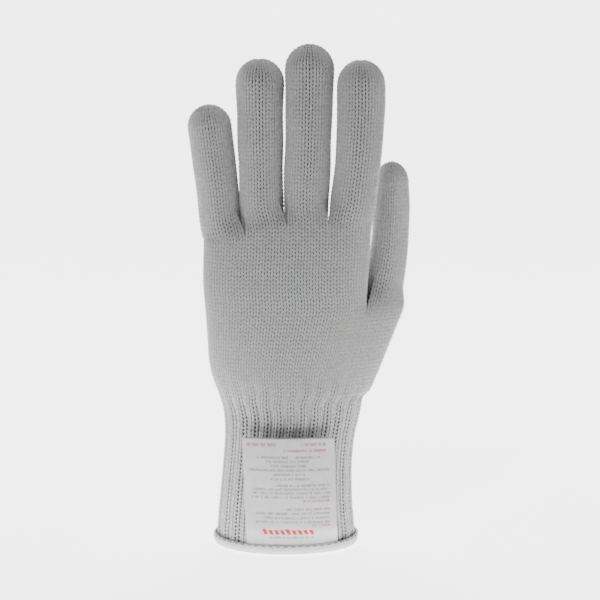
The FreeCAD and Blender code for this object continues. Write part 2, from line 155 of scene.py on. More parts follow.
# ---- label ---------------------------------------------------------------------------------
LABEL_LEAN = 0.036                    # how far it leans aside as it rises
LABEL_LEAN_FROM = 8
LABEL_THICK = 0.34
LABEL_TUCKED = 0.45                   # how far its foot lies off the knit
INK_RISE, INK_SINK = 0.09, 0.05
STROKE_WIDTHS, STROKE_GAPS, WORD_GAP = (0.32, 0.62), (0.16, 0.24), 0.95
WORD_GOES_ON = 0.84                   # how often a stroke is followed by another of its word

# The print: rows of word-like marks as height above the hem's top, row height, and each run's
# start and end across the label; small marks only, with no lettering
GREY_ROWS = [
    (3.2, 1.5, [(12.6, 36.0)]),
    (12.0, 1.35, [(5.6, 45.6)]),
    (14.4, 1.35, [(10.4, 45.6)]),
    (16.8, 1.35, [(6.0, 45.6)]),
    (19.2, 1.35, [(22.4, 45.6)]),
    (25.8, 1.35, [(3.6, 45.6)]),
    (28.0, 1.35, [(4.4, 45.6)]),
    (30.2, 1.35, [(4.0, 45.6)]),
    (32.4, 1.35, [(17.8, 45.6)]),
    (35.9, 1.35, [(14.4, 35.0)]),
    (38.3, 1.35, [(15.8, 33.0)]),
    (40.7, 1.35, [(3.2, 45.6)]),
    (43.0, 1.35, [(14.8, 33.8)]),
    (45.4, 1.35, [(12.2, 35.8)]),
    (47.6, 1.35, [(7.6, 24.2), (28.0, 41.4)]),
]
RED_ROWS = [
    (10.2, 1.3, [(35.6, 45.2)]),
    (23.8, 1.3, [(31.4, 45.4)]),
    (51.2, 1.35, [(21.8, 44.4)]),
    (54.4, 1.7, [(2.6, 18.2), (31.8, 44.4)]),
]
MARK_ROW = (5.9, 3.1, 10.0, 38.0, 9)  # the bold slanted mark: foot, height, start, end, bars
MARK_SLANT, BAR_SHARE, SHORT_BAR, TALL_BARS = -0.45, 0.62, 0.8, (0, 4)

# ---- studio, in metres ---------------------------------------------------------------------
KEY_PLACE, KEY_TARGET = (-0.25, -0.6, 1.0), (0, 0, 0.13)
KEY_SIZE, KEY_POWER = 0.35, 5.0
ROOM_LIGHT = 0.06
SWEEP_GLOW = 3.5
SWEEP_REACH, SWEEP_BEND, SWEEP_HEIGHT = 1.6, 0.5, 1.6
SWEEP_FRONT, SWEEP_BACK = -0.18, 0.55
SWEEP_DROP = 0.05                     # mm below the hem, so that the two don't touch
CAMERA_TARGET, CAMERA_DISTANCE, CAMERA_ELEVATION = (0.0080, 0.0, 0.1345), 0.763, math.radians(9)
CAMERA_LENS, CAMERA_SENSOR = 85, 36


def box_mm(node):
    """A CAD node's two corners, in mm."""
    return [np.array(corner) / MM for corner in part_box(node)]


def smoothstep(x, low, high):
    """0 below low, 1 above high, and smooth between them."""
    t = np.clip((x - low) / (high - low), 0, 1)
    return t * t * (3 - 2 * t)


def unit(rows):
    """Each row at length 1."""
    return rows / (np.linalg.norm(rows, axis=1)[:, None] + 1e-9)


# ---- outlines of the hand ------------------------------------------------------------------
def section_at(z):
    """The section at z, straight between the ones listed."""
    rows = np.array(SECTIONS)
    return [float(np.interp(z, rows[:, 0], rows[:, k])) for k in range(1, 6)]


def smooth_section(z):
    """The section at z, averaged over a few millimetres so that nothing has an edge."""
    return np.mean([section_at(z + d) for d in (-5, -2.5, 0, 2.5, 5)], axis=0)


def oval(z, inset, count=360):
    """The outline of the knit at height z without the thumb, drawn in by the inset."""
    left, right, back, palm, power = smooth_section(z)
    t = np.linspace(0, 2 * math.pi, count, endpoint=False)
    c, s = np.cos(t), np.sin(t)
    a, b = (right - left) / 2 - inset, (palm - back) / 2 - inset
    x = (left + right) / 2 + a * np.sign(c) * np.abs(c) ** (2 / power)
    y = (back + palm) / 2 + b * np.sign(s) * np.abs(s) ** (2 / power)
    return np.stack([x, y], axis=1)


def hull(points):
    """The convex outline of the points, counterclockwise."""
    pts = points[np.lexsort((points[:, 1], points[:, 0]))]
    halves = []
    for line in (pts, pts[::-1]):
        chain = []
        for p in line:
            while len(chain) > 1:
                (ax, ay), (bx, by) = chain[-2], chain[-1]
                if (bx - ax) * (p[1] - ay) - (by - ay) * (p[0] - ax) > 0:
                    break
                chain.pop()
            chain.append(p)
        halves += chain[:-1]
    return np.array(halves)


def even_round(points, count):
    """The closed outline resampled at even steps."""
    loop = np.vstack([points, points[:1]])
    run = np.concatenate([[0], np.cumsum(np.linalg.norm(np.diff(loop, axis=0), axis=1))])
    at = np.linspace(0, run[-1], count, endpoint=False)
    return np.stack([np.interp(at, run, loop[:, k]) for k in range(2)], axis=1)


def soften(points, width):
    """The closed outline with each point averaged over its neighbours."""
    kernel = np.hanning(2 * width + 3)[1:-1]
    kernel /= kernel.sum()
    wrapped = np.vstack([points[-width:], points, points[:width]])
    return np.stack([np.convolve(wrapped[:, k], kernel, "valid") for k in range(2)], axis=1)


def by_wales(points, middle_y, shares):
    """Points at the given shares of the way round, from the little-finger edge over the back."""
    n = len(points)
    side = points[:, 1] - middle_y
    nxt = np.roll(side, -1)
    crossing = [i for i in range(n) if side[i] >= 0 > nxt[i] and points[i, 0] < points[:, 0].mean()][0]
    t = side[crossing] / (side[crossing] - nxt[crossing])
    start = points[crossing] * (1 - t) + points[(crossing + 1) % n] * t
    loop = np.vstack([[start], np.roll(points, -crossing - 1, axis=0), [start]])
    run = np.concatenate([[0], np.cumsum(np.linalg.norm(np.diff(loop, axis=0), axis=1))])
    at = np.mod(shares, 1.0) * run[-1]
    return np.stack([np.interp(at, run, loop[:, k]) for k in range(2)], axis=1)


def thumb_circle(z):
    """The thumb's section inside the hand at height z."""
    root = JOINTS["thumb_root_joint"]
    t = (z - THUMB_FOOT[2]) / (root[2] - THUMB_FOOT[2])
    middle = THUMB_FOOT + (root - THUMB_FOOT) * t
    radius = THUMB_FOOT_R + (THUMB_RADII[0] - THUMB_FOOT_R) * t + 1.0
    if t < 0:
        radius += THUMB_SHRINK * t
    a = np.linspace(0, 2 * math.pi, 72, endpoint=False)
    x, y = THUMB_WIDE * radius * np.cos(a), radius * np.sin(a)
    return np.stack([middle[0] + x, middle[1] + y], axis=1)


def rib_shares(wale, ribbed):
    """Where a wale stands round a ribbed tube: the wale between ribs is drawn in."""
    whole, part = np.floor(wale / RIB_WALES), np.mod(wale, RIB_WALES)
    wide = 1 + RIB_NARROW * ribbed
    sunk = RIB_WALES - 2 * wide
    spread = np.where(part < 2, part * wide, 2 * wide + (part - 2) * sunk)
    return (whole * RIB_WALES + spread) / HAND_WALES


def rib_sink(wale, ribbed):
    """How far the knit lies back between ribs."""
    phase = 2 * math.pi * (np.mod(wale, RIB_WALES) - 2.5) / RIB_WALES
    return RIB_SINK * ribbed * (0.5 + 0.5 * np.cos(phase)) ** 1.5 * 2


def hand_ring(z):
    """Surface points of the cuff and hand at height z, PER_WALE to a wale."""
    wale = np.arange(HAND_WALES * PER_WALE) / PER_WALE
    ribbed = float(1 - smoothstep(z, RIB_TOP, RIB_END))
    outline = oval(z, SKIN)
    if z > THUMB_RISE:
        outline = hull(np.vstack([outline, thumb_circle(z)]))
        outline = soften(even_round(outline, 360), 9)
    left, right, back, palm, _ = smooth_section(z)
    middle = (back + palm) / 2
    points = by_wales(outline, middle, rib_shares(wale, ribbed))
    centre = np.array([(left + right) / 2, middle])
    towards = centre - points
    towards /= np.linalg.norm(towards, axis=1)[:, None]
    points = points + towards * rib_sink(wale, ribbed)[:, None]
    return np.column_stack([points, np.full(len(points), z)])


def palm_ring(z):
    """Surface points of the palm alone, without the thumb."""
    wale = np.arange(PALM_WALES * PER_WALE) / PER_WALE
    _, _, back, palm, _ = smooth_section(z)
    points = by_wales(even_round(oval(z, SKIN), 360), (back + palm) / 2, wale / PALM_WALES)
    return np.column_stack([points, np.full(len(points), z)])


# ---- grids ---------------------------------------------------------------------------------
def hand_grid(start, stop):
    """Rows of the cuff and hand, half a course apart."""
    step = COURSE / PER_COURSE
    count = int(round((stop - start) / step)) + 1
    return np.array([hand_ring(start + i * step) for i in range(count)])


def palm_grid(start, stop):
    """Rows of the palm above the thumb's foot: as the hand below the crotch, alone above it."""
    step = COURSE / PER_COURSE
    front = GUSSET * PER_WALE + 1
    back_from = (GUSSET + WALL_WALES) * PER_WALE
    shift = (THUMB_OUTER - WALL_WALES) * PER_WALE
    rows = []
    for i in range(int(round((stop - start) / step)) + 1):
        z = start + i * step
        row = palm_ring(z)
        w = float(smoothstep(z, *THUMB_SPLIT))
        if w < 1:
            whole = hand_ring(z)
            row[:front] = whole[:front] * (1 - w) + row[:front] * w
            row[back_from:] = whole[back_from + shift:] * (1 - w) + row[back_from:] * w
        rows.append(row)
    return np.array(rows)


def spine(points, step):
    """Even steps along a smooth curve through the points: places, directions, runs, length."""
    pts = np.array(points, float)
    pts = np.vstack([2 * pts[0] - pts[1], pts, 2 * pts[-1] - pts[-2]])
    fine = []
    for a, b, c, d in zip(pts, pts[1:], pts[2:], pts[3:]):
        for t in np.linspace(0, 1, 60, endpoint=False):
            fine.append(0.5 * (2 * b + (c - a) * t + (2 * a - 5 * b + 4 * c - d) * t**2
                               + (3 * b - a - 3 * c + d) * t**3))
    fine = np.array(fine + [pts[-2]])
    run = np.concatenate([[0], np.cumsum(np.linalg.norm(np.diff(fine, axis=0), axis=1))])
    at = np.arange(0, run[-1], step)
    line = np.stack([np.interp(at, run, fine[:, k]) for k in range(3)], axis=1)
    ways = np.gradient(line, axis=0)
    return line, ways / np.linalg.norm(ways, axis=1)[:, None], at, run[-1]


def tube_ring(middle, way, radii, angles):
    """A round ring about the spine: angle 0 points to the thumb side, 90 degrees to the palm."""
    n2 = np.array([0, 1.0, 0]) - way * way[1]
    n2 /= np.linalg.norm(n2)
    n1 = np.cross(n2, way)
    return middle + radii[:, None] * (np.cos(angles)[:, None] * n1 + np.sin(angles)[:, None] * n2)


def ripple_at(run, angles, wobble):
    """How far a stall's radius differs round the ring at this run along it, as a share."""
    return RIPPLE * np.sin(2 * angles + wobble + run * RIPPLE_PACE)


def digit_grid(points, radii, dome, angles, wobble):
    """Rows of a closed stall: a tube along the spine, then a dome over the last point."""
    step = COURSE / PER_COURSE
    line, ways, at, length = spine(points, step)
    knots = [0]
    for p, q in zip(points, points[1:]):
        knots.append(knots[-1] + np.linalg.norm(np.array(q) - np.array(p)))
    sizes = np.interp(at, np.array(knots) * length / knots[-1], radii)
    sizes = np.convolve(np.pad(sizes, 4, "edge"), np.hanning(11)[1:-1] / np.hanning(11).sum(), "valid")
    rows = []
    for i, (middle, way) in enumerate(zip(line, ways)):
        swell = SWELL * math.sin(at[i] * SWELL_PACE + 2 * wobble)
        ripple = 1 + ripple_at(at[i], angles, wobble) + swell
        rows.append(tube_ring(middle, way, (sizes[i] - SKIN) * ripple, angles))
    r, top, way = sizes[-1] - SKIN, line[-1], ways[-1]
    left_over = length - at[-1]
    arc = left_over + step
    while True:
        turn = (arc - left_over) / (r * (1 + dome) / 2)
        if turn > math.pi / 2 - DOME_END:
            break
        middle = top + way * (left_over + dome * r * math.sin(turn))
        ripple = 1 + ripple_at(length + arc, angles, wobble)
        rows.append(tube_ring(middle, way, r * math.cos(turn) * ripple, angles))
        arc += step
    return np.array(rows)


def dome_middle(name):
    """The middle of a digit's round tip, from the CAD tip's box."""
    low, high = box_mm(f"{name}_tip")
    joint_below = "thumb_knuckle" if name == "thumb" else f"{name}_middle_joint"
    lean = JOINTS[f"{name}_tip_joint"] - JOINTS[joint_below]
    radius = min(high[0] - low[0], high[1] - low[1]) / 2
    middle = (low + high) / 2
    for axis in (0, 1):
        if abs(lean[axis]) > 0.5:
            middle[axis] = high[axis] - radius if lean[axis] > 0 else low[axis] + radius
    middle[2] = high[2] - radius
    return middle


def finger_grid(index, name):
    """Rows of a finger: strips of the hand at its foot, a closed stall above."""
    radii, dome, off, splits = DIGITS[name]
    joints = [JOINTS[f"{name}_{j}"] for j in ("knuckle", "middle_joint", "tip_joint")]
    shift = np.array([0, off, 0])
    strip_middle = EDGE_WALES + STRIP_WALES * index + STRIP_WALES / 2
    foot = palm_ring(PALM_TOP)
    foot_x = foot[int(strip_middle * PER_WALE), 0]
    base = np.array([foot_x, joints[0][1], PALM_TOP])
    points = [base + shift] + [j + shift for j in joints] + [dome_middle(name) + shift * 0.5]
    wale = np.arange(FINGER_WALES * PER_WALE) / PER_WALE
    angles = -math.pi / 2 + 2 * math.pi * (wale - STRIP_WALES / 2) / FINGER_WALES
    grid = digit_grid(points, (radii[0],) + radii, dome, angles, index * 1.7)
    front = wale <= STRIP_WALES
    near = (wale >= STRIP_WALES) & (wale <= STRIP_WALES + WALL_WALES)
    back = (wale >= STRIP_WALES + WALL_WALES) & (wale <= 2 * STRIP_WALES + WALL_WALES)
    far = wale >= 2 * STRIP_WALES + WALL_WALES
    on_palm = np.full(len(wale), -1.0)
    on_palm[front] = EDGE_WALES + STRIP_WALES * index + wale[front]
    back_start = GUSSET + WALL_WALES + STRIP_WALES * (3 - index)
    on_palm[back] = back_start + wale[back] - STRIP_WALES - WALL_WALES
    if index == 3:
        on_palm[near] = GUSSET + wale[near] - STRIP_WALES
    if index == 0:
        past = wale[far] - 2 * STRIP_WALES - WALL_WALES
        on_palm[far] = np.mod(PALM_WALES - EDGE_WALES + past, PALM_WALES)
    joined = on_palm >= 0
    share = (1 + np.cos(angles)) / 2
    low, high = splits
    level = low + (high - low) * share
    inner = ~joined
    for row in grid:
        z = row[:, 2].mean()
        if z > PALM_TOP + FINGER_JOIN:
            break
        palm = palm_ring(min(z, SECTION_TOP))
        slots = np.round(on_palm * PER_WALE).astype(int) % len(palm)
        w = smoothstep(z, level - LEAVE_BELOW, level + LEAVE_ABOVE)
        target = palm[slots]
        row[joined] = target[joined] * (1 - w[joined, None]) + row[joined] * w[joined, None]
        squeeze = 1 - CROTCH_SQUEEZE * (1 - smoothstep(z, PALM_TOP, PALM_TOP + CROTCH_REACH))
        centre = np.array([row[:, 0].mean(), row[:, 1].mean(), z])
        row[inner] = centre + (row[inner] - centre) * squeeze
    return grid


def thumb_grid():
    """Rows of the thumb: strips of the hand at its foot, a closed stall above."""
    joints = [JOINTS[f"thumb_{j}"] for j in ("root_joint", "knuckle", "tip_joint")]
    way = joints[0] - THUMB_FOOT
    low = joints[0] - way / way[2] * (joints[0][2] - THUMB_SPLIT[0])
    points = [low, joints[0], joints[1] + THUMB_ASIDE * 0.6,
              joints[2] + THUMB_ASIDE, dome_middle("thumb") + THUMB_ASIDE]
    wale = np.arange(THUMB_WALES * PER_WALE) / PER_WALE
    inner = THUMB_WALES - THUMB_OUTER
    start = THUMB_INWARD + math.pi * inner / THUMB_WALES
    angles = start + 2 * math.pi * wale / THUMB_WALES
    grid = digit_grid(points, (THUMB_RADII[0] + 0.6,) + THUMB_RADII, THUMB_DOME, angles, 0.6)
    outer = wale <= THUMB_OUTER
    slots = ((GUSSET + wale[outer]) * PER_WALE).astype(int)
    for row in grid:
        z = row[:, 2].mean()
        w = float(smoothstep(z, *THUMB_SPLIT))
        if w < 1:
            whole = hand_ring(z)
            row[outer] = whole[slots] * (1 - w) + row[outer] * w
    return grid


# ---- yarn ----------------------------------------------------------------------------------
class Cloth:
    """A tube's grid and its normals, sampled at any wale and course."""

    def __init__(self, grid, wales):
        before = [grid[:1] + k * (grid[:1] - grid[1:2]) for k in (2, 1)]
        after = [grid[-1:] + k * (grid[-1:] - grid[-2:-1]) for k in (1, 2)]
        self.grid = np.concatenate([*before, grid, *after])
        self.wales = wales
        along = np.gradient(self.grid, axis=0)
        around = np.roll(self.grid, -1, axis=1) - np.roll(self.grid, 1, axis=1)
        normals = np.cross(around, along)
        self.normals = normals / (np.linalg.norm(normals, axis=2)[:, :, None] + 1e-9)

    def at(self, wale, course):
        """Positions and normals, between the grid's points."""
        columns = self.grid.shape[1]
        i = np.mod(wale * PER_WALE, columns)
        j = np.clip(course * PER_COURSE + 2, 0, len(self.grid) - 1.001)
        i0, j0 = np.floor(i).astype(int) % columns, np.floor(j).astype(int)
        i1, fi, fj = (i0 + 1) % columns, (i - np.floor(i))[:, None], (j - j0)[:, None]
        found = []
        for values in (self.grid, self.normals):
            low = values[j0, i0] * (1 - fi) + values[j0, i1] * fi
            high = values[j0 + 1, i0] * (1 - fi) + values[j0 + 1, i1] * fi
            found.append(low * (1 - fj) + high * fj)
        return found[0], unit(found[1])


def yarn_course(cloth, course, wales, rib=None):
    """One yarn round the tube, a loop to each wale: its points, in rings of YARN_SIDES."""
    steps = wales * LOOP_POINTS
    k = np.arange(steps) / LOOP_POINTS
    t = 2 * math.pi * k
    loop = np.floor(k).astype(int)
    lean = LOOP_SWING * (1 + RNG.normal(0, LEAN_SPREAD, wales)[loop])
    rise = LOOP_RISE * (1 + RNG.normal(0, RISE_SPREAD, wales)[loop])
    wale = (k + lean * np.sin(2 * t)) * cloth.wales / wales
    height = course + rise * np.cos(t)
    out = -LOOP_DEPTH * np.cos(2 * t)
    if rib is not None:
        sunk = 0.5 - 0.5 * np.cos(2 * math.pi * (np.mod(k, RIB_WALES) - 1.0) / RIB_WALES)
        out = out * (1 - 1.3 * rib * sunk**3)
    place, normal = cloth.at(wale, height)
    spine_points = place + normal * out[:, None]
    way = unit(np.roll(spine_points, -1, axis=0) - np.roll(spine_points, 1, axis=0))
    side = unit(np.cross(way, normal))
    up = np.cross(side, way)
    reach = np.linalg.norm(np.roll(spine_points, -1, axis=0) - spine_points, axis=1)
    thick = YARN * np.clip(reach * LOOP_POINTS / LOOP_LENGTH, YARN_THINNEST, 1.0)
    wave = THICK_WAVE * np.sin(t * 1.7 + course * 2.1)
    thick = thick * (1 + wave + RNG.normal(0, THICK_SPREAD, steps))
    a = 2 * math.pi * np.arange(YARN_SIDES) / YARN_SIDES
    ring = np.cos(a)[None, :, None] * up[:, None] + np.sin(a)[None, :, None] * side[:, None]
    return (spine_points[:, None] + ring * thick[:, None, None]).reshape(-1, 3)


def ring_faces(steps, sides, closed=True):
    """Quads of a tube of rings, joined end to end."""
    i, j = np.meshgrid(np.arange(steps if closed else steps - 1), np.arange(sides), indexing="ij")
    here, there, turn = i * sides, (i + 1) % steps * sides, (j + 1) % sides
    return np.stack([here + j, there + j, there + turn, here + turn], -1).reshape(-1, 4)


def make_mesh(name, points, quads, material, smooth=True):
    """A mesh object from points in millimetres."""
    mesh = bpy.data.meshes.new(name)
    mesh.vertices.add(len(points))
    mesh.vertices.foreach_set("co", (np.asarray(points) * MM).astype(np.float32).ravel())
    quads = np.asarray(quads, dtype=np.int32)
    mesh.loops.add(quads.size)
    mesh.loops.foreach_set("vertex_index", quads.ravel())
    mesh.polygons.add(len(quads))
    size = quads.shape[1]
    mesh.polygons.foreach_set("loop_start", np.arange(0, quads.size, size, dtype=np.int32))
    mesh.polygons.foreach_set("loop_total", np.full(len(quads), size, dtype=np.int32))
    mesh.polygons.foreach_set("use_smooth", np.full(len(quads), smooth))
    mesh.update(calc_edges=True)
    mesh.validate()
    mesh.materials.append(material)
    piece = bpy.data.objects.new(name, mesh)
    bpy.context.scene.collection.objects.link(piece)
    return piece


def wales_at(cloth, course, full):
    """How many loops a course has: fewer where a tip closes."""
    place, _ = cloth.at(np.linspace(0, full, 25)[:-1], np.full(24, float(course)))
    girth = np.linalg.norm(np.diff(np.vstack([place, place[:1]]), axis=0), axis=1).sum()
    for loops in (full, full // 2):
        if girth / loops > LEAST_WALE:
            return loops
    return max(5, full // 4)


def knit_piece(name, cloth, courses, material, rib=None, taper=False):
    """The yarns of some courses as one piece."""
    points, quads, start = [], [], 0
    for course in courses:
        wales = wales_at(cloth, course, cloth.wales) if taper else cloth.wales
        tube = yarn_course(cloth, course, wales, None if rib is None else rib(course))
        points.append(tube)
        quads.append(ring_faces(wales * LOOP_POINTS, YARN_SIDES) + start)
        start += len(tube)
    return make_mesh(name, np.vstack(points), np.vstack(quads), material)


def shade_lining_piece(name, cloth, first, last, material):
    """The knit's inner face: a thin closed shell just behind the yarns, which carries the painted shade.
    """
    wale = np.arange(cloth.wales * 2) / 2
    courses = np.arange(first - 0.5, last + 0.51, 0.5)
    shells = []
    for depth in SHADE_LINING_DEPTHS:
        rows = []
        for course in courses:
            place, normal = cloth.at(wale, np.full(len(wale), course))
            rows.append(place - normal * depth)
        shells.append(np.array(rows))
    columns, count = len(wale), len(courses)
    points = np.vstack([shells[0].reshape(-1, 3), shells[1].reshape(-1, 3)])
    outer = ring_faces(count, columns, closed=False)[:, ::-1]
    j, far = np.arange(columns), count * columns
    inner = outer[:, ::-1] + far
    nxt = (j + 1) % columns
    low = np.stack([j, nxt, nxt + far, j + far], 1)
    high = low + (count - 1) * columns
    quads = np.vstack([outer, inner, low[:, ::-1], high])
    return make_mesh(name, points, quads, material)


# ---- materials -----------------------------------------------------------------------------
def new_material(name, roughness, sheen=0.0, specular=0.3):
    """A matt material, its node tree and its shader."""
    material = bpy.data.materials.new(name)
    material.use_nodes = True
    shader = material.node_tree.nodes["Principled BSDF"]
    shader.inputs["Roughness"].default_value = roughness
    shader.inputs["Specular IOR Level"].default_value = specular
    shader.inputs["Sheen Weight"].default_value = sheen
    shader.inputs["Sheen Roughness"].default_value = 0.45
    return material, material.node_tree, shader


def noise(tree, scale, detail=3.0, stretch=None):
    """Noise in the object's own space, in features per metre."""
    texture = tree.nodes.new("ShaderNodeTexNoise")
    texture.inputs["Scale"].default_value = scale
    texture.inputs["Detail"].default_value = detail
    coords = tree.nodes.new("ShaderNodeTexCoord")
    source = coords.outputs["Object"]
    if stretch:
        mapping = tree.nodes.new("ShaderNodeMapping")
        mapping.inputs["Scale"].default_value = stretch
        tree.links.new(source, mapping.inputs["Vector"])
        source = mapping.outputs["Vector"]
    tree.links.new(source, texture.inputs["Vector"])
    return texture.outputs["Fac"]


def ramp(tree, source, low, high, start=0.35, stop=0.65):
    """A colour that goes from low to high as the source does."""
    node = tree.nodes.new("ShaderNodeValToRGB")
    node.color_ramp.elements[0].position = start
    node.color_ramp.elements[1].position = stop
    node.color_ramp.elements[0].color = (*low, 1)
    node.color_ramp.elements[1].color = (*high, 1)
    tree.links.new(source, node.inputs["Fac"])
    return node.outputs["Color"]


def bump(tree, shader, source, strength, distance):
    """A fine grain on top of the real geometry; the distance is in metres."""
    node = tree.nodes.new("ShaderNodeBump")
    node.inputs["Strength"].default_value = strength
    node.inputs["Distance"].default_value = distance
    tree.links.new(source, node.inputs["Height"])
    tree.links.new(node.outputs["Normal"], shader.inputs["Normal"])


def yarn_material():
    """The light grey yarn: mottled, with a fine twist."""
    material, tree, shader = new_material("yarn", 0.85, sheen=0.35)
    colour = ramp(tree, noise(tree, 900, 4), (0.50, 0.505, 0.50), (0.70, 0.705, 0.70))
    tree.links.new(colour, shader.inputs["Base Color"])
    bump(tree, shader, noise(tree, 3500, 2), 0.35, 0.0002)
    return material


def shade_lining_material():
    """The knit's inside, painted dark as the shade seen through the loops."""
    material, tree, shader = new_material("knit_inside_painted_shade", 0.95, sheen=0.1)
    # painted shade: near-black grey stands for the shadow behind and between the loops
    colour = ramp(tree, noise(tree, 700, 3), (0.05, 0.05, 0.05), (0.11, 0.11, 0.11))
    tree.links.new(colour, shader.inputs["Base Color"])
    bump(tree, shader, noise(tree, 900, 2), 0.5, 0.0004)
    return material


def cloth_material(name, low, high, scale, grain, sheen=0.2, stretch=None):
    """A fine cloth or thread: a slight change of tone, and a grain that stands up."""
    material, tree, shader = new_material(name, 0.85, sheen=sheen)
    colour = ramp(tree, noise(tree, scale, 3, stretch), low, high)
    tree.links.new(colour, shader.inputs["Base Color"])
    bump(tree, shader, noise(tree, grain, 2, stretch), 0.4, 0.0002)
    return material


YARN_LOOK, SHADE_LINING_LOOK = yarn_material(), shade_lining_material()
TAPE_LOOK = cloth_material("binding_tape", (0.66, 0.66, 0.66), (0.76, 0.76, 0.76), 700, 2500,
                           stretch=(1, 1, 4))
THREAD_LOOK = cloth_material("sewing_thread", (0.16, 0.16, 0.16), (0.28, 0.28, 0.28), 1500, 5000)
ELASTIC_LOOK = cloth_material("covered_elastic", (0.5, 0.5, 0.5), (0.66, 0.66, 0.66), 900, 3000)
LABEL_LOOK = cloth_material("label_cloth", (0.60, 0.60, 0.605), (0.655, 0.655, 0.66), 260, 2600,
                            sheen=0.05)
GREY_INK = cloth_material("grey_ink", (0.26, 0.26, 0.27), (0.46, 0.46, 0.47), 800, 3000, sheen=0.0)
RED_INK = cloth_material("faded_red_ink", (0.60, 0.17, 0.20), (0.66, 0.32, 0.34), 800, 3000, sheen=0.0)
BOLD_INK = cloth_material("red_ink", (0.62, 0.03, 0.03), (0.70, 0.06, 0.05), 600, 3000, sheen=0.0)


# ---- the knitted pieces --------------------------------------------------------------------
def dress(piece, lining, place):
    """Places both layers of the knit in the same way."""
    for part in (piece, lining):
        place(part)


def rides(body):
    """A way to place a piece: on one body."""
    return lambda part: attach(part, body)


def bends():
    """A way to place a piece: its transform baked into its mesh, on no body."""
    return lambda part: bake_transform(part)


def knit_hand():
    """The cuff and the hand up to the thumb's split, in bands of courses."""
    courses = int(round((HAND_TOP - HAND_START) / COURSE))
    cloth = Cloth(hand_grid(HAND_START, HAND_TOP), HAND_WALES)
    bands = [("cuff_hem_knit", "cuff"), ("cuff_lower_knit", "cuff"), ("cuff_upper_knit", None),
             ("wrist_knit", None), ("hand_heel_knit", "hand"), ("hand_lower_knit", "hand")]
    size = math.ceil(courses / len(bands))
    wrist_bend = bends()

    def ribbed(course):
        return float(1 - smoothstep(HAND_START + course * COURSE, RIB_TOP, RIB_END))

    for i, (name, body) in enumerate(bands):
        first, last = i * size, min((i + 1) * size, courses)
        knit = knit_piece(name, cloth, range(first, last), YARN_LOOK, rib=ribbed)
        lining = shade_lining_piece(name.replace("knit", "lining"), cloth, first, last - 1, SHADE_LINING_LOOK)
        how = rides(body) if body else wrist_bend
        dress(knit, lining, how)
        if name == "cuff_lower_knit":
            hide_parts("cuff_shell")


def knit_palm():
    """The palm above the thumb's foot."""
    courses = int(round((PALM_TOP - HAND_TOP) / COURSE))
    cloth = Cloth(palm_grid(HAND_TOP, PALM_TOP), PALM_WALES)
    half = courses // 2
    for name, first, last in (("palm_lower_knit", 0, half), ("palm_upper_knit", half, courses)):
        knit = knit_piece(name, cloth, range(first, last), YARN_LOOK)
        lining = shade_lining_piece(name.replace("knit", "lining"), cloth, first, last - 1, SHADE_LINING_LOOK)
        dress(knit, lining, rides("hand"))
        if first == 0:
            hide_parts("hand_shell")


def course_at(cloth, z):
    """The course whose middle is at height z."""
    heights = cloth.grid[2:-2:PER_COURSE, :, 2].mean(axis=1)
    return int(np.argmin(np.abs(heights - z)))


def knit_digit(name, grid, wales, joints):
    """A stall in three lengths, each across one joint."""
    cloth = Cloth(grid, wales)
    total = (len(grid) - 1) // PER_COURSE
    stalls = [f"{name}_root", f"{name}_middle", f"{name}_tip"]
    cuts = [0]
    for a, b in zip(joints, joints[1:]):
        cuts.append(course_at(cloth, (a[2] + b[2]) / 2))
    cuts.append(total + 1)
    for i, joint in enumerate(joints):
        first, last = cuts[i], cuts[i + 1]
        ahead = (joints[i + 1] if i < 2 else dome_middle(name)) - joint
        knit = knit_piece(f"{stalls[i]}_knit", cloth, range(first, last), YARN_LOOK, taper=(i == 2))
        lining = shade_lining_piece(f"{stalls[i]}_lining", cloth, first, last - 1, SHADE_LINING_LOOK)
        how = bends()
        dress(knit, lining, how)
        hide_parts(stalls[i])


# ---- hem -----------------------------------------------------------------------------------
def round_cuff(z, count):
    """Points and outward directions round the cuff's outer face, from its little-finger edge."""
    _, _, back, palm, _ = smooth_section(z)
    shares = np.arange(count) / count
    points = by_wales(even_round(oval(z, 0.0), 720), (back + palm) / 2, shares)
    along = unit(np.roll(points, -1, axis=0) - np.roll(points, 1, axis=0))
    outwards = np.stack([along[:, 1], -along[:, 0]], axis=1)
    return points, outwards


def hem_profile(height):
    """The folded tape's middle line, as offset from the cuff's face and height, and its normals."""
    top = height - HEM_EDGE
    outside = [(0.62 + 0.55 * math.sin(math.pi * t) ** 0.8, top - t * (height - HEM_ROLL))
               for t in np.linspace(0, 1, 7)]
    under = [(-1.2 + 1.85 * math.cos(a), 1.25 - 0.80 * math.sin(a))
             for a in np.linspace(0.25, math.pi - 0.25, 9)]
    inside = [(-3.05, z) for z in np.linspace(HEM_ROLL, top, 5)]
    line = np.array(outside + under + inside)
    ways = unit(np.gradient(line, axis=0))
    return line, np.stack([-ways[:, 1], ways[:, 0]], axis=1)


def hem_binding(height, stitches):
    """The tape folded round the raw edge: a soft roll, drawn in a little by each stitch."""
    line, side = hem_profile(height)
    half = np.full(len(line), TAPE_HALF)
    half[[0, -1]] = TAPE_EDGE_HALF
    loop = np.vstack([line + side * half[:, None], (line - side * half[:, None])[::-1]])
    count = 8 * stitches
    points, outwards = round_cuff(3.0, count)
    turn = np.arange(count) / count
    pull = 0.5 + 0.5 * np.cos(2 * math.pi * turn * stitches)
    soft = 0.10 * np.sin(2 * math.pi * turn * 5 + 1) + 0.07 * np.sin(2 * math.pi * turn * 13 + 2.2)
    rows = []
    for off, z in loop:
        near_top = math.exp(-((z - height + STITCH_DROP) / 1.0) ** 2)
        shift = off + (soft - 0.16 * near_top * pull) * (1 if off > 0 else 0.3)
        flat = points + outwards * shift[:, None]
        rows.append(np.column_stack([flat, np.full(count, z) + 0.10 * soft * (z > 1.5)]))
    grid = np.array(rows).transpose(1, 0, 2)
    sides = len(loop)
    piece = make_mesh("hem_tape", grid.reshape(-1, 3), ring_faces(count, sides), TAPE_LOOK)
    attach(piece, "cuff")
    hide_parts("hem_binding")


